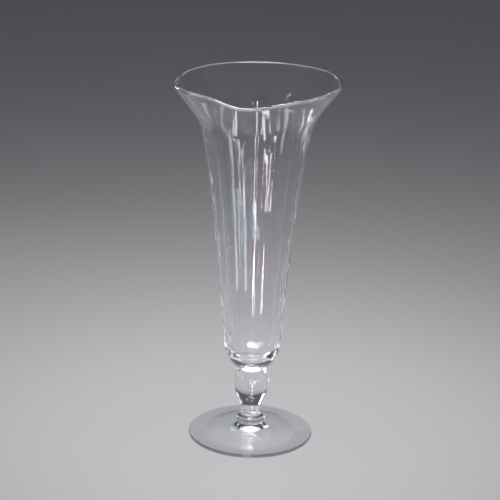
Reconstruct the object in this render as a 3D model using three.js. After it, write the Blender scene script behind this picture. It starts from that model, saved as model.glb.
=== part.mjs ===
// A footed trumpet vase of clear glass, about 30 cm tall. Millimetres, +Z up.
// It stands on the table at z = 0 with its axis on Z, and -Y is its front.
// Five gathers of glass are joined hot, face to face, from the table up:
// foot, foot collar, stem, neck ring and bowl. Nothing on it moves.

import * as THREE from 'three';

// ---- Driving dimensions ------------------------------------------------------

// Heights of the five pieces, stacked from the table up
const FOOT_HEIGHT = 11;
const FOOT_COLLAR_HEIGHT = 6;
const STEM_HEIGHT = 38.5;
const NECK_RING_HEIGHT = 4.5;
const BOWL_HEIGHT = 240;

// Radii of the flat faces where two pieces are joined, shared by both of them
const FOOT_SEAT_RADIUS = 10.6;
const STEM_FOOT_SEAT_RADIUS = 8.6;
const STEM_TOP_SEAT_RADIUS = 12;
const BOWL_SEAT_RADIUS = 12.3;

// Foot: a thin disc that rises to the stem and is hollow underneath
const FOOT_RADIUS = 51.2;
const FOOT_EDGE_THICKNESS = 2.8;
const FOOT_HOLLOW_RADIUS = 37;
const FOOT_HOLLOW_DEPTH = 4.5;

// Foot collar, stem and neck ring: how wide each one swells or narrows
const FOOT_COLLAR_RADIUS = 11.9;
const STEM_WAIST_RADIUS = 7.7;
const STEM_WAIST_HEIGHT = 4;
const KNOP_RADIUS = 14.2;
const KNOP_HEIGHT = 28;
const NECK_RING_RADIUS = 12.9;

// Bowl: a rounded base, a long taper, and a flare out to the rim
const BOWL_BASE_RADIUS = 23.6;
const BOWL_BASE_HEIGHT = 22;
const FLARE_START_RADIUS = 45;
const FLARE_HEIGHT = 34;
const RIM_RADIUS = 66.4;
const RIM_LEAN = THREE.MathUtils.degToRad(34);
const WALL_AT_BASE = 3.4;
const WALL_AT_RIM = 2.6;
const BOWL_FLOOR_THICKNESS = 8.5;

// Flutes: shallow panels round the bowl that meet in soft ridges, with one centred at the
// start angle. They run out round the top of the rounded base and the start of the flare:
// each fade is a range of heights from there.
const FLUTE_COUNT = 12;
const FLUTE_DEPTH = 1.2;
const FLUTE_DEPTH_INSIDE = 0.4;
const FLUTE_START_ANGLE = THREE.MathUtils.degToRad(-4);
const FLUTE_FOOT_FADE = [-6, 14];
const FLUTE_TOP_FADE = [-11, 16];

// Rim: its high and low points, as [degrees from the front towards +X, height], and how
// far down the flare they fade away
const RIM_LIFTS = [
  [-145, 0.8], [-118, 0.2], [-90, -2.6], [-62, 1], [-38, 1.7], [-9, -4],
  [28, 0.7], [56, 2], [90, 0.2], [118, 1.8], [160, 1],
];
const RIM_LIFT_REACH = 60;

// Facets round each piece; the bowl has four to a flute
const BOWL_FACETS = 4 * FLUTE_COUNT;
const FOOT_FACETS = 48;
const STEM_FACETS = 32;

// ---- Places that follow from the dimensions -----------------------------------

const FOOT_COLLAR_Z = FOOT_HEIGHT;
const STEM_Z = FOOT_COLLAR_Z + FOOT_COLLAR_HEIGHT;
const NECK_RING_Z = STEM_Z + STEM_HEIGHT;
const BOWL_Z = NECK_RING_Z + NECK_RING_HEIGHT;
const FLARE_START_HEIGHT = BOWL_HEIGHT - FLARE_HEIGHT;

// ---- Glass ---------------------------------------------------------------------

function clearGlass(color) {
  return new THREE.MeshStandardMaterial({
    color,
    roughness: 0.04,
    metalness: 0,
    transparent: true,
    opacity: 0.35,
  });
}

// ---- Outlines, as radius across and height up -----------------------------------

function at(radius, height) {
  return new THREE.Vector2(radius, height);
}

function bend(...points) {
  return points.length === 3
    ? new THREE.QuadraticBezierCurve(...points)
    : new THREE.CubicBezierCurve(...points);
}

// Joins [curve, steps] stretches and single points into one run of points, in which
// the end of one stretch and the start of the next are the same point
const SAME_POINT = 0.01;

function outline(...stretches) {
  const points = [];
  for (const stretch of stretches) {
    const run = Array.isArray(stretch) ? stretch[0].getPoints(stretch[1]) : [stretch];
    for (const point of run) {
      const last = points.at(-1);
      if (!last || last.distanceTo(point) > SAME_POINT) points.push(point);
    }
  }
  return points;
}

// Turns an outline round the Z axis, with its first facet edge at an angle from the front
function turned(points, facets, startAngle = 0) {
  return new THREE.LatheGeometry(points, facets, startAngle).rotateX(Math.PI / 2);
}

// ---- Foot ----------------------------------------------------------------------

function footGeometry() {
  const edgeRadius = FOOT_EDGE_THICKNESS / 2;
  const edge = FOOT_RADIUS - edgeRadius;
  const rise = FOOT_HEIGHT - FOOT_EDGE_THICKNESS;
  const width = edge - FOOT_SEAT_RADIUS;
  const hollow = bend(
    at(0, FOOT_HOLLOW_DEPTH),
    at(0.55 * FOOT_HOLLOW_RADIUS, FOOT_HOLLOW_DEPTH),
    at(FOOT_HOLLOW_RADIUS, 0),
  );
  const roundEdge = new THREE.EllipseCurve(
    edge, edgeRadius, edgeRadius, edgeRadius, -Math.PI / 2, Math.PI / 2,
  );
  const sweep = bend(
    at(edge, FOOT_EDGE_THICKNESS),
    at(edge - 0.35 * width, FOOT_EDGE_THICKNESS + 0.18 * rise),
    at(edge - 0.75 * width, FOOT_EDGE_THICKNESS + 0.6 * rise),
    at(FOOT_SEAT_RADIUS, FOOT_HEIGHT),
  );
  return turned(
    outline([hollow, 5], [roundEdge, 4], [sweep, 5], at(0, FOOT_HEIGHT)),
    FOOT_FACETS,
  );
}

// ---- Foot collar ----------------------------------------------------------------

function footCollarGeometry() {
  const swell = bend(
    at(FOOT_SEAT_RADIUS, 0),
    at(2 * FOOT_COLLAR_RADIUS - FOOT_SEAT_RADIUS, 0.3 * FOOT_COLLAR_HEIGHT),
    at(FOOT_COLLAR_RADIUS, 0.85 * FOOT_COLLAR_HEIGHT),
    at(STEM_FOOT_SEAT_RADIUS, FOOT_COLLAR_HEIGHT),
  );
  return turned(
    outline(at(0, 0), [swell, 6], at(0, FOOT_COLLAR_HEIGHT)),
    STEM_FACETS,
  );
}

// ---- Stem, with its baluster knop -------------------------------------------------

function stemGeometry() {
  const waist = bend(
    at(STEM_FOOT_SEAT_RADIUS, 0),
    at(STEM_WAIST_RADIUS, 0.3 * STEM_WAIST_HEIGHT),
    at(STEM_WAIST_RADIUS, STEM_WAIST_HEIGHT),
  );
  const climb = KNOP_HEIGHT - STEM_WAIST_HEIGHT;
  const swell = bend(
    at(STEM_WAIST_RADIUS, STEM_WAIST_HEIGHT),
    at(STEM_WAIST_RADIUS, STEM_WAIST_HEIGHT + 0.42 * climb),
    at(KNOP_RADIUS, STEM_WAIST_HEIGHT + 0.52 * climb),
    at(KNOP_RADIUS, KNOP_HEIGHT),
  );
  const shoulder = bend(
    at(KNOP_RADIUS, KNOP_HEIGHT),
    at(KNOP_RADIUS, KNOP_HEIGHT + 0.65 * (STEM_HEIGHT - KNOP_HEIGHT)),
    at(STEM_TOP_SEAT_RADIUS, STEM_HEIGHT),
  );
  return turned(
    outline(at(0, 0), [waist, 3], [swell, 8], [shoulder, 4], at(0, STEM_HEIGHT)),
    STEM_FACETS,
  );
}

// ---- Neck ring -------------------------------------------------------------------

function neckRingGeometry() {
  const swell = bend(
    at(STEM_TOP_SEAT_RADIUS, 0),
    at(NECK_RING_RADIUS, 0.3 * NECK_RING_HEIGHT),
    at(NECK_RING_RADIUS, 0.7 * NECK_RING_HEIGHT),
    at(BOWL_SEAT_RADIUS, NECK_RING_HEIGHT),
  );
  return turned(
    outline(at(0, 0), [swell, 5], at(0, NECK_RING_HEIGHT)),
    STEM_FACETS,
  );
}

// ---- Bowl ------------------------------------------------------------------------

// The long taper from the rounded base to the start of the flare
function taperCurve() {
  const rise = FLARE_START_HEIGHT - BOWL_BASE_HEIGHT;
  const spread = FLARE_START_RADIUS - BOWL_BASE_RADIUS;
  return bend(
    at(BOWL_BASE_RADIUS, BOWL_BASE_HEIGHT),
    at(BOWL_BASE_RADIUS + 0.25 * spread, BOWL_BASE_HEIGHT + 0.33 * rise),
    at(BOWL_BASE_RADIUS + 0.5 * spread, BOWL_BASE_HEIGHT + 0.67 * rise),
    at(FLARE_START_RADIUS, FLARE_START_HEIGHT),
  );
}

// The flare runs on from the taper and ends at the lip, leaning out as the rim does
function flareCurve() {
  const halfWall = WALL_AT_RIM / 2;
  const start = at(FLARE_START_RADIUS, FLARE_START_HEIGHT);
  const end = at(
    RIM_RADIUS - halfWall + halfWall * Math.cos(RIM_LEAN),
    BOWL_HEIGHT - halfWall - halfWall * Math.sin(RIM_LEAN),
  );
  const rise = end.y - start.y;
  const startReach = taperCurve().getTangent(1).multiplyScalar(0.25 * rise);
  const endReach = at(Math.sin(RIM_LEAN), Math.cos(RIM_LEAN)).multiplyScalar(0.45 * rise);
  return bend(start, start.clone().add(startReach), end.clone().sub(endReach), end);
}

function wallAt(height) {
  return THREE.MathUtils.mapLinear(height, 0, BOWL_HEIGHT, WALL_AT_BASE, WALL_AT_RIM);
}

// Steps along a curve of the outer wall, moved in by the wall's thickness
function innerWall(curve, steps) {
  const points = [];
  for (let step = 0; step <= steps; step += 1) {
    const outer = curve.getPoint(step / steps);
    const along = curve.getTangent(step / steps);
    const inward = at(-along.y, along.x).multiplyScalar(wallAt(outer.y));
    points.push(outer.add(inward));
  }
  return points.reverse();
}

function bowlOutline() {
  const base = bend(
    at(BOWL_SEAT_RADIUS, 0),
    at(0.8 * BOWL_BASE_RADIUS, 0.25 * BOWL_BASE_HEIGHT),
    at(0.97 * BOWL_BASE_RADIUS, 0.6 * BOWL_BASE_HEIGHT),
    at(BOWL_BASE_RADIUS, BOWL_BASE_HEIGHT),
  );
  const taper = taperCurve();
  const flare = flareCurve();
  const innerFlare = innerWall(flare, 7);
  const innerTaper = innerWall(taper, 9);
  const lipMiddle = flare.getPoint(1).add(innerFlare[0]).multiplyScalar(0.5);
  const lipRadius = lipMiddle.distanceTo(innerFlare[0]);
  const lip = new THREE.EllipseCurve(
    lipMiddle.x, lipMiddle.y, lipRadius, lipRadius, -RIM_LEAN, Math.PI - RIM_LEAN,
  );
  const floorEdge = innerTaper.at(-1);
  const floor = new THREE.EllipseCurve(
    0, floorEdge.y, floorEdge.x, floorEdge.y - BOWL_FLOOR_THICKNESS, 0, -Math.PI / 2, true,
  );
  const outer = outline(at(0, 0), [base, 5], [taper, 9], [flare, 7], [lip, 4]);
  const inner = outline(...innerFlare.slice(1), ...innerTaper.slice(1), [floor, 5]);
  inner.at(-1).x = 0;
  return { outer, inner };
}

// How much of a flute's depth is left at this height: all of it along the taper
function fluteFade(height) {
  const aboveBase = height - BOWL_BASE_HEIGHT;
  const aboveTaper = height - FLARE_START_HEIGHT;
  const fromFoot = THREE.MathUtils.smoothstep(aboveBase, ...FLUTE_FOOT_FADE);
  const toFlare = 1 - THREE.MathUtils.smoothstep(aboveTaper, ...FLUTE_TOP_FADE);
  return Math.min(fromFoot, toFlare);
}

// Flute depth at an angle: none at a ridge, all of it at the middle of a panel
function fluteCut(depth, angle, height) {
  const turns = (angle - FLUTE_START_ANGLE) * FLUTE_COUNT / (2 * Math.PI);
  const fromMiddle = 2 * (turns - Math.round(turns));
  return depth * fluteFade(height) * (1 - fromMiddle ** 2);
}

// Height of the rim above its mean at an angle, eased between its high and low points
function rimLift(angle) {
  const degrees = THREE.MathUtils.radToDeg(angle);
  const start = RIM_LIFTS[0][0];
  const wrapped = THREE.MathUtils.euclideanModulo(degrees - start, 360) + start;
  const next = RIM_LIFTS.findIndex(([point]) => point > wrapped);
  const [fromAngle, fromLift] = RIM_LIFTS.at(next < 0 ? -1 : next - 1);
  const [toAngle, toLift] = RIM_LIFTS.at(Math.max(next, 0));
  const gap = THREE.MathUtils.euclideanModulo(toAngle - fromAngle, 360);
  const share = THREE.MathUtils.euclideanModulo(wrapped - fromAngle, 360) / gap;
  return THREE.MathUtils.lerp(fromLift, toLift, (1 - Math.cos(Math.PI * share)) / 2);
}

function bowlGeometry() {
  const { outer, inner } = bowlOutline();
  const points = [...outer, ...inner];
  const geometry = turned(points, BOWL_FACETS, FLUTE_START_ANGLE);
  const position = geometry.getAttribute('position');
  for (let index = 0; index < position.count; index += 1) {
    const row = index % points.length;
    const facet = Math.floor(index / points.length) % BOWL_FACETS;
    const { x: radius, y: height } = points[row];
    const angle = FLUTE_START_ANGLE + facet * 2 * Math.PI / BOWL_FACETS;
    const depth = row < outer.length ? FLUTE_DEPTH : FLUTE_DEPTH_INSIDE;
    const cut = fluteCut(depth, angle, height);
    const lift = rimLift(angle)
      * THREE.MathUtils.smoothstep(height, BOWL_HEIGHT - RIM_LIFT_REACH, BOWL_HEIGHT);
    const fluted = radius - cut;
    position.setXYZ(index, fluted * Math.sin(angle), -fluted * Math.cos(angle), height + lift);
  }
  geometry.computeVertexNormals();
  return geometry;
}

// ---- The vase ----------------------------------------------------------------------

function piece(name, geometry, height, color) {
  const mesh = new THREE.Mesh(geometry, clearGlass(color));
  mesh.name = name;
  mesh.position.z = height;
  return mesh;
}

const vase = new THREE.Group();
vase.name = 'trumpet_vase';
vase.add(
  piece('foot', footGeometry(), 0, 0xdfe6ec),
  piece('foot_collar', footCollarGeometry(), FOOT_COLLAR_Z, 0xe8eef3),
  piece('stem', stemGeometry(), STEM_Z, 0xe4ebf0),
  piece('neck_ring', neckRingGeometry(), NECK_RING_Z, 0xe8eef3),
  piece('bowl', bowlGeometry(), BOWL_Z, 0xe2e8ee),
);

export default vase;
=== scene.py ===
import math

import bmesh
import bpy
from mathutils import Matrix, Vector


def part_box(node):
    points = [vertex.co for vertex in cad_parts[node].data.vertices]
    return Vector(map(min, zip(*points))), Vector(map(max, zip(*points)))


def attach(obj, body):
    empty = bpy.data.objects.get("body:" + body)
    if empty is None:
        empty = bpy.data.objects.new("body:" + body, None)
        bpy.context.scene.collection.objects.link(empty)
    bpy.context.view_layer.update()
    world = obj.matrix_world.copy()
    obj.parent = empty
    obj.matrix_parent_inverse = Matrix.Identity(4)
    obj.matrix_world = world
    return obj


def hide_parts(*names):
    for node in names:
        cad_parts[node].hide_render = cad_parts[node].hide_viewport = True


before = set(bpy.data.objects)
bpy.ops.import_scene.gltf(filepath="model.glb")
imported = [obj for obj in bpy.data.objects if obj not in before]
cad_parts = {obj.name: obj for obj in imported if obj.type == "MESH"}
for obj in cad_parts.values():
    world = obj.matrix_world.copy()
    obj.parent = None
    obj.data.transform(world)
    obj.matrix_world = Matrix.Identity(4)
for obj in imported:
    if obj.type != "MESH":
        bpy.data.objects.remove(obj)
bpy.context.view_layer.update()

# ---- Camera -----------------------------------------------------------------
# It stands a metre and a half in front of the vase, above the rim, and looks
# down on it through a long lens, tipped a little to the left.

CAMERA_PLACE = Vector((-0.0035, -1.5, 0.6855))
CAMERA_LOOKS_DOWN = math.radians(19.28)
CAMERA_ROLL = math.radians(1.3)
CAMERA_LENS = 141.8
CAMERA_SENSOR = 36.0

camera_data = bpy.data.cameras.new("camera")
camera_data.lens = CAMERA_LENS
camera_data.sensor_width = CAMERA_SENSOR
camera_data.clip_start = 0.05
camera_data.clip_end = 30.0
camera = bpy.data.objects.new("camera", camera_data)
camera.matrix_world = (
    Matrix.Translation(CAMERA_PLACE)
    @ Matrix.Rotation(math.radians(90) - CAMERA_LOOKS_DOWN, 4, "X")
    @ Matrix.Rotation(CAMERA_ROLL, 4, "Z")
)
bpy.context.scene.collection.objects.link(camera)
bpy.context.scene.camera = camera

# ---- Studio -----------------------------------------------------------------
# A pale floor that curves up into a round backdrop, under one soft light that
# falls off with distance. Narrow soft lights stand round it for the glass.

FLOOR_RADIUS = 1.9
COVE_RADIUS = 0.9
BACKDROP_HEIGHT = 2.4
FLOOR_COLOUR = (0.62, 0.62, 0.63, 1.0)
WORLD_COLOUR = (0.86, 0.90, 1.0, 1.0)
WORLD_STRENGTH = 0.16
DAYLIGHT = (0.76, 0.88, 1.0)
WARM_WHITE = (1.0, 0.97, 0.96)
ROSE_WHITE = (1.0, 0.80, 0.86)
VIOLET_WHITE = (0.86, 0.82, 1.0)

# Lights on stands: name, place, point aimed at, width, height, brightness, colour, and
# spread in degrees
SOFTBOXES = [
    ("overhead", (0.0, 0.0, 0.65), (0.0, 0.0, 0.0), 0.2, 0.2, 24.0, WARM_WHITE, 180),
    ("high_bar", (-0.82, -0.22, 1.1), (0.0, 0.0, 0.17), 0.15, 0.03, 5.0, WARM_WHITE, 90),
    ("high_front", (-0.05, -1.0, 0.75), (0.0, 0.0, 0.05), 0.03, 0.7, 25.0, WARM_WHITE, 60),
]

# Upright lights: name, degrees round from the front towards +X, distance, lowest and
# highest point, height aimed at, width, brightness, colour, and spread in degrees
STRIPS = [
    ("front_strip", -3, 0.8, 0.10, 0.40, 0.3, 0.028, 32.0, WARM_WHITE, 80),
    ("right_strip", 52, 1.2, 0.06, 0.65, 0.3, 0.05, 12.0, WARM_WHITE, 40),
    ("low_strip", -7, 0.55, 0.01, 0.15, 0.2, 0.018, 60.0, WARM_WHITE, 50),
    ("near_strip", -10, 0.3, 0.02, 0.09, 0.12, 0.01, 22.0, DAYLIGHT, 50),
    ("low_window", 50, 0.55, 0.01, 0.16, 0.2, 0.04, 10.0, DAYLIGHT, 50),
    ("rose_strip", 84, 1.2, 0.2, 0.7, 0.3, 0.06, 12.0, ROSE_WHITE, 50),
    ("violet_strip", -68, 1.2, 0.2, 0.65, 0.3, 0.16, 7.0, VIOLET_WHITE, 50),
    ("left_back_strip", -140, 1.2, 0.1, 0.45, 0.3, 0.16, 20.0, WARM_WHITE, 50),
    ("right_back_window", 130, 1.1, 0.15, 0.6, 0.3, 0.15, 5.0, DAYLIGHT, 40),
]

# Bounces enough for light that is caught inside the rim
GLASS_BOUNCES = 64
CLEAR_BOUNCES = 32


def new_material(name):
    material = bpy.data.materials.new(name)
    material.use_nodes = True
    material.node_tree.nodes.clear()
    return material


def add_node(tree, kind, **settings):
    node = tree.nodes.new(kind)
    for name, value in settings.items():
        setattr(node, name, value)
    return node


def turned_mesh(name, outline, sides):
    """A mesh turned round Z from (radius, height) points; points on the axis close it."""
    mesh = bpy.data.meshes.new(name)
    work = bmesh.new()
    rings = []
    for radius, height in outline:
        if radius < 1e-6:
            rings.append([work.verts.new((0.0, 0.0, height))])
            continue
        turns = [2 * math.pi * side / sides for side in range(sides)]
        rings.append([
            work.verts.new((radius * math.sin(turn), -radius * math.cos(turn), height))
            for turn in turns
        ])
    for lower, upper in zip(rings, rings[1:]):
        for side in range(sides):
            after = (side + 1) % sides
            if len(lower) == 1:
                corners = (lower[0], upper[after], upper[side])
            elif len(upper) == 1:
                corners = (lower[side], lower[after], upper[0])
            else:
                corners = (lower[side], lower[after], upper[after], upper[side])
            work.faces.new(corners)
    for face in work.faces:
        face.smooth = True
    work.to_mesh(mesh)
    work.free()
    return mesh


def add_object(name, data):
    piece = bpy.data.objects.new(name, data)
    bpy.context.scene.collection.objects.link(piece)
    return piece


def arc(centre, radius, start, end, steps):
    """Points of an arc in the outline plane, from one angle to another in degrees."""
    return [
        (
            centre[0] + radius * math.cos(math.radians(start + (end - start) * step / steps)),
            centre[1] + radius * math.sin(math.radians(start + (end - start) * step / steps)),
        )
        for step in range(steps + 1)
    ]


cove = arc((FLOOR_RADIUS, COVE_RADIUS), COVE_RADIUS, -90, 0, 24)
floor_outline = [(0.0, 0.0)] + cove + [(FLOOR_RADIUS + COVE_RADIUS, BACKDROP_HEIGHT)]
floor = add_object("floor", turned_mesh("floor", floor_outline, 96))

floor_paint = new_material("floor_paint")
tree = floor_paint.node_tree
output = add_node(tree, "ShaderNodeOutputMaterial")
paint = add_node(tree, "ShaderNodeBsdfPrincipled")
place = add_node(tree, "ShaderNodeTexCoord")
grain = add_node(tree, "ShaderNodeTexNoise")
grain.inputs["Scale"].default_value = 900.0
bump = add_node(tree, "ShaderNodeBump")
bump.inputs["Strength"].default_value = 0.05
bump.inputs["Distance"].default_value = 0.0002
paint.inputs["Base Color"].default_value = FLOOR_COLOUR
paint.inputs["Roughness"].default_value = 0.6
paint.inputs["Specular IOR Level"].default_value = 0.3
tree.links.new(place.outputs["Object"], grain.inputs["Vector"])
tree.links.new(grain.outputs["Fac"], bump.inputs["Height"])
tree.links.new(bump.outputs["Normal"], paint.inputs["Normal"])
tree.links.new(paint.outputs["BSDF"], output.inputs["Surface"])
floor.data.materials.append(floor_paint)


def add_softbox(name, place, aim, width, height, brightness, colour, spread):
    """A rectangular soft light with a grid; brightness is what its middle shows head on."""
    half_spread = math.radians(spread / 2)
    gain = 1.0
    if spread < 180:
        gain = math.tan(half_spread) / (math.tan(half_spread) - half_spread)
    data = bpy.data.lights.new(name, "AREA")
    data.shape = "RECTANGLE"
    data.size = width
    data.size_y = height
    data.energy = brightness * math.pi * width * height / gain
    data.color = colour
    data.spread = math.radians(spread)
    light = add_object(name, data)
    light.location = place
    facing = Vector(aim) - Vector(place)
    light.rotation_euler = facing.to_track_quat("-Z", "Y").to_euler()
    light.visible_camera = False


def add_strip(name, turn, distance, low, high, aim_height, width, brightness, colour, spread):
    """A narrow soft light that stands turn degrees round from the front and faces the vase."""
    angle = math.radians(turn)
    place = (distance * math.sin(angle), -distance * math.cos(angle), (low + high) / 2)
    add_softbox(name, place, (0.0, 0.0, aim_height), width, high - low, brightness, colour, spread)


for softbox in SOFTBOXES:
    add_softbox(*softbox)
for strip in STRIPS:
    add_strip(*strip)

world = bpy.data.worlds.new("studio_air")
world.use_nodes = True
air = world.node_tree.nodes["Background"]
air.inputs["Color"].default_value = WORLD_COLOUR
air.inputs["Strength"].default_value = WORLD_STRENGTH
scene = bpy.context.scene
scene.world = world
scene.view_settings.view_transform = "Standard"
scene.cycles.max_bounces = GLASS_BOUNCES
scene.cycles.glossy_bounces = GLASS_BOUNCES
scene.cycles.transmission_bounces = GLASS_BOUNCES
scene.cycles.transparent_max_bounces = CLEAR_BOUNCES
scene.cycles.sample_clamp_indirect = 0.0
scene.cycles.caustics_refractive = False
scene.cycles.caustics_reflective = False

# ---- Foot -------------------------------------------------------------------
# The disc that the vase stands on, spun out of one gather of clear glass. It
# rises to the stem, is hollow underneath, and rests on a ring near its edge.

MM = 0.001
FOOT_EDGE = 2.8 * MM
FOOT_HOLLOW_RADIUS = 37 * MM
FOOT_HOLLOW_DEPTH = 4.5 * MM
FOOT_SIDES = 192
SPUN_RINGS = (26 * MM, 44 * MM)
SPUN_RING_DEPTH = 0.07 * MM
SPUN_RING_SPACING = 2.6 * MM
SHADOW_TINT = (0.95, 0.96, 0.965, 1.0)
COOL_TINT = (0.955, 0.975, 1.0, 1.0)
WARM_TINT = (0.985, 0.97, 0.99, 1.0)
GLASS_IOR = 1.5
TINT_CLOUD_SCALE = 28.0
SMUDGE_SCALE = 45.0
HARD_EDGE = math.radians(50)
SAME_PLACE = 1e-6


def bezier(points, steps):
    """Points along a quadratic or cubic curve."""
    run = []
    for step in range(steps + 1):
        share = step / steps
        layer = [Vector(point) for point in points]
        while len(layer) > 1:
            layer = [a.lerp(b, share) for a, b in zip(layer, layer[1:])]
        run.append(tuple(layer[0]))
    return run


def smooth_step(value, start, end):
    share = min(max((value - start) / (end - start), 0.0), 1.0)
    return share * share * (3 - 2 * share)


def seat_radius(node, height):
    """Radius of the flat face of a CAD node at this height."""
    corners = [corner.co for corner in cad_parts[node].data.vertices]
    return max(
        math.hypot(corner.x, corner.y) for corner in corners if abs(corner.z - height) < SAME_PLACE
    )


def joined_run(*stretches):
    """One outline from several, without the doubled points where they meet."""
    run = []
    for stretch in stretches:
        for point in stretch:
            if not run or math.dist(run[-1], point) > SAME_PLACE:
                run.append(point)
    return run


def wire_math(tree, operation, first, second=0.0):
    """A Math node on two values or sockets; gives its output socket."""
    node = add_node(tree, "ShaderNodeMath", operation=operation)
    for socket, value in zip(node.inputs, (first, second)):
        if isinstance(value, bpy.types.NodeSocket):
            tree.links.new(value, socket)
        else:
            socket.default_value = value
    return node.outputs["Value"]


def hand_made_glass_group():
    """Unevenness of hand-worked glass: its ripple, its faint tints and its handling marks."""
    group = bpy.data.node_groups.new("hand_made_glass", "ShaderNodeTree")
    for name, kind, default in (
        ("Place", "NodeSocketVector", None),
        ("Ripple Size", "NodeSocketFloat", 120.0),
        ("Upright Stretch", "NodeSocketFloat", 0.25),
        ("Cool Tint", "NodeSocketColor", (0.96, 0.98, 1.0, 1.0)),
        ("Warm Tint", "NodeSocketColor", (0.985, 0.97, 0.99, 1.0)),
        ("Smudge Roughness", "NodeSocketFloat", 0.02),
    ):
        socket = group.interface.new_socket(name=name, in_out="INPUT", socket_type=kind)
        if default is not None:
            socket.default_value = default
    for name, kind in (
        ("Height", "NodeSocketFloat"), ("Tint", "NodeSocketColor"), ("Roughness", "NodeSocketFloat"),
    ):
        group.interface.new_socket(name=name, in_out="OUTPUT", socket_type=kind)
    given = add_node(group, "NodeGroupInput")
    result = add_node(group, "NodeGroupOutput")

    parts = add_node(group, "ShaderNodeSeparateXYZ")
    drawn_out = add_node(group, "ShaderNodeCombineXYZ")
    group.links.new(given.outputs["Place"], parts.inputs["Vector"])
    group.links.new(parts.outputs["X"], drawn_out.inputs["X"])
    group.links.new(parts.outputs["Y"], drawn_out.inputs["Y"])
    stretched = wire_math(group, "MULTIPLY", parts.outputs["Z"], given.outputs["Upright Stretch"])
    group.links.new(stretched, drawn_out.inputs["Z"])

    ripple = add_node(group, "ShaderNodeTexNoise")
    ripple.inputs["Detail"].default_value = 1.0
    group.links.new(drawn_out.outputs["Vector"], ripple.inputs["Vector"])
    group.links.new(given.outputs["Ripple Size"], ripple.inputs["Scale"])
    group.links.new(ripple.outputs["Fac"], result.inputs["Height"])

    clouds = add_node(group, "ShaderNodeTexNoise")
    clouds.inputs["Scale"].default_value = TINT_CLOUD_SCALE
    clouds.inputs["Detail"].default_value = 2.0
    group.links.new(drawn_out.outputs["Vector"], clouds.inputs["Vector"])
    spread = add_node(group, "ShaderNodeMapRange")
    spread.inputs["From Min"].default_value = 0.38
    spread.inputs["From Max"].default_value = 0.62
    group.links.new(clouds.outputs["Fac"], spread.inputs["Value"])
    tint = add_node(group, "ShaderNodeMix", data_type="RGBA")
    group.links.new(spread.outputs["Result"], tint.inputs["Factor"])
    group.links.new(given.outputs["Cool Tint"], tint.inputs["A"])
    group.links.new(given.outputs["Warm Tint"], tint.inputs["B"])
    group.links.new(tint.outputs["Result"], result.inputs["Tint"])

    smudges = add_node(group, "ShaderNodeTexNoise")
    smudges.inputs["Scale"].default_value = SMUDGE_SCALE
    smudges.inputs["Detail"].default_value = 4.0
    group.links.new(given.outputs["Place"], smudges.inputs["Vector"])
    patches = add_node(group, "ShaderNodeMapRange")
    patches.inputs["From Min"].default_value = 0.52
    patches.inputs["From Max"].default_value = 0.74
    group.links.new(smudges.outputs["Fac"], patches.inputs["Value"])
    rough = wire_math(group, "MULTIPLY", patches.outputs["Result"], given.outputs["Smudge Roughness"])
    group.links.new(rough, result.inputs["Roughness"])
    return group


hand_made_glass = hand_made_glass_group()


def glass_material(name, ripple_size, ripple_height, upright_stretch, cool_tint, warm_tint, smudges):
    """Clear glass; light on its way to a shadow or a pale surface passes straight through."""
    material = new_material(name)
    tree = material.node_tree
    output = add_node(tree, "ShaderNodeOutputMaterial")
    glass = add_node(tree, "ShaderNodeBsdfPrincipled")
    glass.inputs["IOR"].default_value = GLASS_IOR
    glass.inputs["Transmission Weight"].default_value = 1.0
    place = add_node(tree, "ShaderNodeTexCoord")
    worked = add_node(tree, "ShaderNodeGroup")
    worked.node_tree = hand_made_glass
    worked.inputs["Ripple Size"].default_value = ripple_size
    worked.inputs["Upright Stretch"].default_value = upright_stretch
    worked.inputs["Cool Tint"].default_value = cool_tint
    worked.inputs["Warm Tint"].default_value = warm_tint
    worked.inputs["Smudge Roughness"].default_value = smudges
    tree.links.new(place.outputs["Object"], worked.inputs["Place"])
    tree.links.new(worked.outputs["Tint"], glass.inputs["Base Color"])
    tree.links.new(worked.outputs["Roughness"], glass.inputs["Roughness"])
    bump = add_node(tree, "ShaderNodeBump")
    bump.inputs["Strength"].default_value = 1.0
    bump.inputs["Distance"].default_value = ripple_height
    tree.links.new(worked.outputs["Height"], bump.inputs["Height"])
    tree.links.new(bump.outputs["Normal"], glass.inputs["Normal"])
    clear = add_node(tree, "ShaderNodeBsdfTransparent")
    clear.inputs["Color"].default_value = SHADOW_TINT
    path = add_node(tree, "ShaderNodeLightPath")
    for_bounced_light = add_node(tree, "ShaderNodeMixShader")
    tree.links.new(path.outputs["Is Diffuse Ray"], for_bounced_light.inputs["Fac"])
    tree.links.new(glass.outputs["BSDF"], for_bounced_light.inputs[1])
    tree.links.new(clear.outputs["BSDF"], for_bounced_light.inputs[2])
    mix = add_node(tree, "ShaderNodeMixShader")
    tree.links.new(path.outputs["Is Shadow Ray"], mix.inputs["Fac"])
    tree.links.new(for_bounced_light.outputs["Shader"], mix.inputs[1])
    tree.links.new(clear.outputs["BSDF"], mix.inputs[2])
    tree.links.new(mix.outputs["Shader"], output.inputs["Surface"])
    return material


def weld_material():
    """The faces where two gathers have flowed together, which nobody can see."""
    material = new_material("hot_weld")
    tree = material.node_tree
    output = add_node(tree, "ShaderNodeOutputMaterial")
    join = add_node(tree, "ShaderNodeBsdfPrincipled")
    join.inputs["Alpha"].default_value = 0.0
    tree.links.new(join.outputs["BSDF"], output.inputs["Surface"])
    return material


hot_weld = weld_material()
foot_glass = glass_material("foot_glass", 90.0, 0.03 * MM, 1.0, COOL_TINT, WARM_TINT, 0.01)


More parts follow.
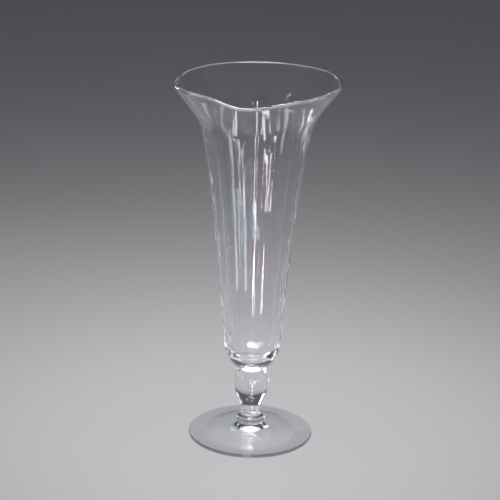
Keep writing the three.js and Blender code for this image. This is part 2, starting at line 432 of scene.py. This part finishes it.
def add_glass(name, node, mesh, glass, weld_heights):
    """Dresses a turned mesh in glass, opens its hot joins, and puts it in the frame."""
    mesh.materials.append(glass)
    mesh.materials.append(hot_weld)
    for face in mesh.polygons:
        flat = abs(face.normal.z) > 0.999
        if flat and any(abs(face.center.z - height) < SAME_PLACE for height in weld_heights):
            face.material_index = 1
            face.use_smooth = False
    mesh.set_sharp_from_angle(angle=HARD_EDGE)
    piece = add_object(name, mesh)
    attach(piece, "root")
    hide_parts(node)
    return piece


foot_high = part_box("foot")[1]
foot_radius = foot_high.x
foot_top = foot_high.z
foot_seat = seat_radius("foot", foot_top)
foot_edge_middle = foot_radius - FOOT_EDGE / 2
foot_rise = foot_top - FOOT_EDGE
foot_width = foot_edge_middle - foot_seat


def spun_ring_depth(radius):
    """How deep the tool left its rings in the top of the foot at this radius."""
    share = smooth_step(radius, *SPUN_RINGS) * (1 - smooth_step(radius, SPUN_RINGS[1], foot_edge_middle))
    return SPUN_RING_DEPTH * share * (1 - math.cos(2 * math.pi * radius / SPUN_RING_SPACING)) / 2


foot_top_run = [
    (radius, height - spun_ring_depth(radius)) for radius, height in
    bezier([(foot_edge_middle, FOOT_EDGE),
            (foot_edge_middle - 0.35 * foot_width, FOOT_EDGE + 0.18 * foot_rise),
            (foot_edge_middle - 0.75 * foot_width, FOOT_EDGE + 0.60 * foot_rise),
            (foot_seat, foot_top)], 160)
]
foot_outline = joined_run(
    bezier([(0, FOOT_HOLLOW_DEPTH), (0.55 * FOOT_HOLLOW_RADIUS, FOOT_HOLLOW_DEPTH),
            (FOOT_HOLLOW_RADIUS, 0)], 40),
    [(foot_edge_middle, 0)],
    arc((foot_edge_middle, FOOT_EDGE / 2), FOOT_EDGE / 2, -90, 90, 20),
    foot_top_run,
    [(0, foot_top)],
)
add_glass(
    "spun_foot", "foot",
    turned_mesh("spun_foot", foot_outline, FOOT_SIDES), foot_glass, [foot_top],
)

# ---- Foot collar ------------------------------------------------------------
# A small round collar of glass, squeezed between the foot and the stem's waist.

STEM_SIDES = 128

stem_glass = glass_material("stem_glass", 170.0, 0.10 * MM, 0.6, COOL_TINT, WARM_TINT, 0.02)

collar_low, collar_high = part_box("foot_collar")
collar_radius = collar_high.x
collar_height = collar_high.z - collar_low.z
collar_seat = seat_radius("foot_collar", collar_low.z)
collar_top_seat = seat_radius("foot_collar", collar_high.z)
collar_outline = joined_run(
    [(0, collar_low.z)],
    bezier([(collar_seat, collar_low.z),
            (2 * collar_radius - collar_seat, collar_low.z + 0.3 * collar_height),
            (collar_radius, collar_low.z + 0.85 * collar_height),
            (collar_top_seat, collar_high.z)], 32),
    [(0, collar_high.z)],
)
add_glass(
    "collar_wafer", "foot_collar",
    turned_mesh("collar_wafer", collar_outline, STEM_SIDES), stem_glass,
    [collar_low.z, collar_high.z],
)

# ---- Stem -------------------------------------------------------------------
# A solid stem drawn from one gather: a narrow waist that swells into a knop.

STEM_WAIST_RADIUS = 7.7 * MM
STEM_WAIST_HEIGHT = 4 * MM
KNOP_HEIGHT = 28 * MM

stem_low, stem_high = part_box("stem")
knop_radius = stem_high.x
stem_seat = seat_radius("stem", stem_low.z)
stem_top_seat = seat_radius("stem", stem_high.z)
waist = stem_low.z + STEM_WAIST_HEIGHT
knop = stem_low.z + KNOP_HEIGHT
stem_outline = joined_run(
    [(0, stem_low.z)],
    bezier([(stem_seat, stem_low.z), (STEM_WAIST_RADIUS, stem_low.z + 0.3 * STEM_WAIST_HEIGHT),
            (STEM_WAIST_RADIUS, waist)], 16),
    bezier([(STEM_WAIST_RADIUS, waist), (STEM_WAIST_RADIUS, waist + 0.42 * (knop - waist)),
            (knop_radius, waist + 0.52 * (knop - waist)), (knop_radius, knop)], 64),
    bezier([(knop_radius, knop), (knop_radius, knop + 0.65 * (stem_high.z - knop)),
            (stem_top_seat, stem_high.z)], 40),
    [(0, stem_high.z)],
)
add_glass(
    "knop_stem", "stem",
    turned_mesh("knop_stem", stem_outline, STEM_SIDES), stem_glass,
    [stem_low.z, stem_high.z],
)

# ---- Neck ring --------------------------------------------------------------
# The wafer of glass that takes the bowl, a little wider than what it joins.

ring_low, ring_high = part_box("neck_ring")
ring_radius = ring_high.x
ring_height = ring_high.z - ring_low.z
ring_seat = seat_radius("neck_ring", ring_low.z)
bowl_seat = seat_radius("neck_ring", ring_high.z)
ring_outline = joined_run(
    [(0, ring_low.z)],
    bezier([(ring_seat, ring_low.z), (ring_radius, ring_low.z + 0.3 * ring_height),
            (ring_radius, ring_low.z + 0.7 * ring_height), (bowl_seat, ring_high.z)], 24),
    [(0, ring_high.z)],
)
add_glass(
    "neck_wafer", "neck_ring",
    turned_mesh("neck_wafer", ring_outline, STEM_SIDES), stem_glass,
    [ring_low.z, ring_high.z],
)

# ---- Bowl -------------------------------------------------------------------
# Blown into a ribbed mould and opened into a trumpet, so that twelve panels run
# up it to the flare. Its rim is fire-polished and sags a little out of level.

BOWL_HEIGHT = 240 * MM
BOWL_BASE_RADIUS = 23.6 * MM
BOWL_BASE_HEIGHT = 22 * MM
FLARE_START_RADIUS = 45 * MM
FLARE_HEIGHT = 34 * MM
RIM_LEAN = math.radians(34)
WALL_AT_BASE = 3.4 * MM
WALL_AT_RIM = 2.6 * MM
BOWL_FLOOR_THICKNESS = 8.5 * MM
FLUTE_COUNT = 12
FLUTE_DEPTH = 1.2 * MM
FLUTE_DEPTH_INSIDE = 0.4 * MM
FLUTE_START_ANGLE = math.radians(-4)
FLUTE_FOOT_FADE = (-6 * MM, 14 * MM)
FLUTE_TOP_NARROWS = (-24 * MM, 4 * MM)
FLUTE_TOP_ENDS = (5 * MM, 10 * MM)
FLUTE_NARROWING = 0.5
RIM_LIFTS = [
    (-145, 0.8), (-118, 0.2), (-90, -2.6), (-62, 1.0), (-38, 1.7), (-9, -4.0),
    (28, 0.7), (56, 1.9), (90, 0.2), (118, 1.8), (160, 1.0),
]
RIM_LIFT_REACH = 60 * MM
RIDGE_SOFTNESS = 0.08
RIPPLE_HEIGHT = 0.06 * MM
RIPPLES_ROUND = 8.0
RIPPLES_UP = 14.0
RIPPLE_START = 2 * MM
INSIDE_RIPPLE_SHIFT = 9.0
BOWL_SIDES = 24 * FLUTE_COUNT

bowl_low, bowl_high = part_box("bowl")
rim_radius = bowl_high.x
flare_start = BOWL_HEIGHT - FLARE_HEIGHT


def bowl_taper(steps):
    rise = flare_start - BOWL_BASE_HEIGHT
    spread = FLARE_START_RADIUS - BOWL_BASE_RADIUS
    return bezier([
        (BOWL_BASE_RADIUS, BOWL_BASE_HEIGHT),
        (BOWL_BASE_RADIUS + 0.25 * spread, BOWL_BASE_HEIGHT + 0.33 * rise),
        (BOWL_BASE_RADIUS + 0.50 * spread, BOWL_BASE_HEIGHT + 0.67 * rise),
        (FLARE_START_RADIUS, flare_start),
    ], steps)


def bowl_flare(steps):
    half = WALL_AT_RIM / 2
    lean = Vector((math.sin(RIM_LEAN), math.cos(RIM_LEAN)))
    start = Vector((FLARE_START_RADIUS, flare_start))
    end = Vector((
        rim_radius - half + half * math.cos(RIM_LEAN),
        BOWL_HEIGHT - half - half * math.sin(RIM_LEAN),
    ))
    rise = end.y - start.y
    last, end_of_taper = bowl_taper(200)[-2:]
    up_taper = (Vector(end_of_taper) - Vector(last)).normalized()
    return bezier([start, start + up_taper * 0.25 * rise, end - lean * 0.45 * rise, end], steps)


def inside_of(run):
    """The run moved in by the wall's thickness, from its far end back to its start."""
    points = [Vector(point) for point in run]
    inner = []
    for index, point in enumerate(points):
        along = (points[min(index + 1, len(points) - 1)] - points[max(index - 1, 0)]).normalized()
        share = point.y / BOWL_HEIGHT
        wall = WALL_AT_BASE + (WALL_AT_RIM - WALL_AT_BASE) * share
        inner.append((point.x - along.y * wall, point.y + along.x * wall))
    return inner[::-1]


base_run = bezier([
    (bowl_seat, 0), (0.80 * BOWL_BASE_RADIUS, 0.25 * BOWL_BASE_HEIGHT),
    (0.97 * BOWL_BASE_RADIUS, 0.60 * BOWL_BASE_HEIGHT), (BOWL_BASE_RADIUS, BOWL_BASE_HEIGHT),
], 28)
wall_run = joined_run(bowl_taper(90), bowl_flare(44))
inner_run = inside_of(wall_run)
lip_start, lip_end = Vector(wall_run[-1]), Vector(inner_run[0])
lip_middle = (lip_start + lip_end) / 2
lip_radius = (lip_start - lip_end).length / 2
lip_from = math.degrees(math.atan2(lip_start.y - lip_middle.y, lip_start.x - lip_middle.x))
lip_run = arc(lip_middle, lip_radius, lip_from, lip_from + 180, 14)
floor_edge = inner_run[-1]
floor_run = [
    (
        floor_edge[0] * math.cos(math.radians(90 * step / 24)),
        floor_edge[1]
        - (floor_edge[1] - BOWL_FLOOR_THICKNESS) * math.sin(math.radians(90 * step / 24)),
    )
    for step in range(24)
] + [(0.0, BOWL_FLOOR_THICKNESS)]
outer_run = joined_run([(0, 0)], base_run, wall_run, lip_run)
bowl_outline = joined_run(outer_run, inner_run, floor_run)


def rim_lift(angle):
    """Height of the rim above its mean, eased between its high and low points."""
    first = RIM_LIFTS[0][0]
    degrees = (math.degrees(angle) - first) % 360 + first
    wrapped = RIM_LIFTS + [(first + 360, RIM_LIFTS[0][1])]
    (from_angle, from_lift), (to_angle, to_lift) = next(
        pair for pair in zip(wrapped, wrapped[1:]) if degrees <= pair[1][0]
    )
    share = (degrees - from_angle) / (to_angle - from_angle)
    return (from_lift + (to_lift - from_lift) * (1 - math.cos(math.pi * share)) / 2) * MM


def fluted_wall_tree():
    """Presses flutes and a faint ripple into a turned wall that carries its own shares."""
    tree = bpy.data.node_groups.new("fluted_wall", "GeometryNodeTree")
    tree.interface.new_socket(name="Geometry", in_out="INPUT", socket_type="NodeSocketGeometry")
    for name, default in (
        ("Flutes", 12.0), ("First Flute Angle", 0.0), ("Flute Depth", 0.001),
        ("Ridge Softness", 0.1), ("Ripple Height", 0.0), ("Ripples Round", 8.0),
        ("Ripples Up", 16.0),
    ):
        socket = tree.interface.new_socket(name=name, in_out="INPUT", socket_type="NodeSocketFloat")
        socket.default_value = default
    tree.interface.new_socket(name="Glass", in_out="INPUT", socket_type="NodeSocketMaterial")
    tree.interface.new_socket(name="Geometry", in_out="OUTPUT", socket_type="NodeSocketGeometry")
    given = add_node(tree, "NodeGroupInput")
    result = add_node(tree, "NodeGroupOutput")

    def stored(name):
        node = add_node(tree, "GeometryNodeInputNamedAttribute", data_type="FLOAT")
        node.inputs["Name"].default_value = name
        return node.outputs["Attribute"]

    place = add_node(tree, "GeometryNodeInputPosition")
    parts = add_node(tree, "ShaderNodeSeparateXYZ")
    tree.links.new(place.outputs["Position"], parts.inputs["Vector"])
    toward_front = wire_math(tree, "MULTIPLY", parts.outputs["Y"], -1.0)
    angle = wire_math(tree, "ARCTAN2", parts.outputs["X"], toward_front)
    x_squared = wire_math(tree, "MULTIPLY", parts.outputs["X"], parts.outputs["X"])
    y_squared = wire_math(tree, "MULTIPLY", toward_front, toward_front)
    reach = wire_math(tree, "SQRT", wire_math(tree, "ADD", x_squared, y_squared))
    reach = wire_math(tree, "MAXIMUM", reach, 1e-6)

    turned = wire_math(tree, "SUBTRACT", angle, given.outputs["First Flute Angle"])
    turns = wire_math(
        tree, "DIVIDE", wire_math(tree, "MULTIPLY", turned, given.outputs["Flutes"]), 2 * math.pi
    )
    beyond = wire_math(tree, "SUBTRACT", turns, wire_math(tree, "ROUND", turns))
    from_middle = wire_math(tree, "MULTIPLY", wire_math(tree, "ABSOLUTE", beyond), 2.0)
    to_ridge = wire_math(tree, "SUBTRACT", 1.0, from_middle)
    softness = given.outputs["Ridge Softness"]
    rounded = wire_math(tree, "SQRT", wire_math(
        tree, "ADD", wire_math(tree, "MULTIPLY", to_ridge, to_ridge),
        wire_math(tree, "MULTIPLY", softness, softness),
    ))
    from_ridge = wire_math(tree, "SUBTRACT", rounded, softness)
    hollow = wire_math(
        tree, "MULTIPLY", from_ridge, wire_math(tree, "SUBTRACT", 2.0, from_ridge)
    )
    pressed = wire_math(
        tree, "MAXIMUM", wire_math(tree, "SUBTRACT", hollow, stored("flute_loss")), 0.0
    )
    depth = wire_math(tree, "MULTIPLY", given.outputs["Flute Depth"], stored("flute_share"))
    cut = wire_math(tree, "MULTIPLY", depth, pressed)

    around = add_node(tree, "ShaderNodeCombineXYZ")
    for axis, value in (("X", parts.outputs["X"]), ("Y", parts.outputs["Y"])):
        unit = wire_math(tree, "DIVIDE", value, reach)
        tree.links.new(
            wire_math(tree, "MULTIPLY", unit, given.outputs["Ripples Round"]), around.inputs[axis]
        )
    level = wire_math(tree, "MULTIPLY", parts.outputs["Z"], given.outputs["Ripples Up"])
    side_step = wire_math(tree, "MULTIPLY", stored("flute_share"), INSIDE_RIPPLE_SHIFT)
    tree.links.new(wire_math(tree, "ADD", level, side_step), around.inputs["Z"])
    noise = add_node(tree, "ShaderNodeTexNoise")
    noise.inputs["Scale"].default_value = 1.0
    noise.inputs["Detail"].default_value = 2.0
    tree.links.new(around.outputs["Vector"], noise.inputs["Vector"])
    ripple = wire_math(tree, "MULTIPLY", noise.outputs["Fac"], given.outputs["Ripple Height"])
    ripple = wire_math(tree, "MULTIPLY", ripple, stored("ripple_share"))
    inward = wire_math(tree, "ADD", cut, ripple)
    share = wire_math(tree, "DIVIDE", wire_math(tree, "MULTIPLY", inward, -1.0), reach)
    offset = add_node(tree, "ShaderNodeCombineXYZ")
    for axis in ("X", "Y"):
        tree.links.new(wire_math(tree, "MULTIPLY", parts.outputs[axis], share), offset.inputs[axis])

    press = add_node(tree, "GeometryNodeSetPosition")
    tree.links.new(given.outputs["Geometry"], press.inputs["Geometry"])
    tree.links.new(offset.outputs["Vector"], press.inputs["Offset"])
    plain = add_node(tree, "GeometryNodeRealizeInstances")
    tree.links.new(press.outputs["Geometry"], plain.inputs["Geometry"])
    finish = add_node(tree, "GeometryNodeSetMaterial")
    tree.links.new(plain.outputs["Geometry"], finish.inputs["Geometry"])
    tree.links.new(given.outputs["Glass"], finish.inputs["Material"])
    tree.links.new(finish.outputs["Geometry"], result.inputs["Geometry"])
    return tree


def made_plain(name, mesh, tree, values):
    """The mesh with a Geometry Nodes tree applied to it, given values for its inputs."""
    shaped = add_object(name + "_blank", mesh)
    modifier = shaped.modifiers.new("shape", "NODES")
    modifier.node_group = tree
    for item in tree.interface.items_tree:
        if item.in_out == "INPUT" and item.name in values:
            modifier[item.identifier] = values[item.name]
    graph = bpy.context.evaluated_depsgraph_get()
    plain = bpy.data.meshes.new_from_object(shaped.evaluated_get(graph))
    plain.name = name
    bpy.data.objects.remove(shaped)
    return plain


bowl_glass = glass_material("bowl_glass", 150.0, 0.02 * MM, 0.12, COOL_TINT, WARM_TINT, 0.01)

bowl_blank = turned_mesh("bowl_blank", bowl_outline, BOWL_SIDES)
outside = 1 + (len(outer_run) - 1) * BOWL_SIDES
shares = {
    name: bowl_blank.attributes.new(name, "FLOAT", "POINT").data
    for name in ("flute_loss", "flute_share", "ripple_share")
}
for corner in bowl_blank.vertices:
    height = corner.co.z
    past_flare = height - flare_start
    narrowed = FLUTE_NARROWING * smooth_step(past_flare, *FLUTE_TOP_NARROWS)
    ended = (1 - FLUTE_NARROWING) * smooth_step(past_flare, *FLUTE_TOP_ENDS)
    not_begun = 1 - smooth_step(height - BOWL_BASE_HEIGHT, *FLUTE_FOOT_FADE)
    shares["flute_loss"][corner.index].value = max(narrowed + ended, not_begun)
    shares["flute_share"][corner.index].value = (
        1.0 if corner.index < outside else FLUTE_DEPTH_INSIDE / FLUTE_DEPTH
    )
    shares["ripple_share"][corner.index].value = smooth_step(height, RIPPLE_START, BOWL_BASE_HEIGHT)
bowl_mesh = made_plain("blown_bowl", bowl_blank, fluted_wall_tree(), {
    "Flutes": float(FLUTE_COUNT),
    "First Flute Angle": FLUTE_START_ANGLE,
    "Flute Depth": FLUTE_DEPTH,
    "Ridge Softness": RIDGE_SOFTNESS,
    "Ripple Height": RIPPLE_HEIGHT,
    "Ripples Round": RIPPLES_ROUND,
    "Ripples Up": RIPPLES_UP,
    "Glass": bowl_glass,
})
for corner in bowl_mesh.vertices:
    angle = math.atan2(corner.co.x, -corner.co.y)
    reach_up = smooth_step(corner.co.z, BOWL_HEIGHT - RIM_LIFT_REACH, BOWL_HEIGHT)
    corner.co.z += bowl_low.z + rim_lift(angle) * reach_up
bowl_mesh.update()
bowl_mesh.materials.clear()
add_glass("blown_bowl", "bowl", bowl_mesh, bowl_glass, [bowl_low.z])
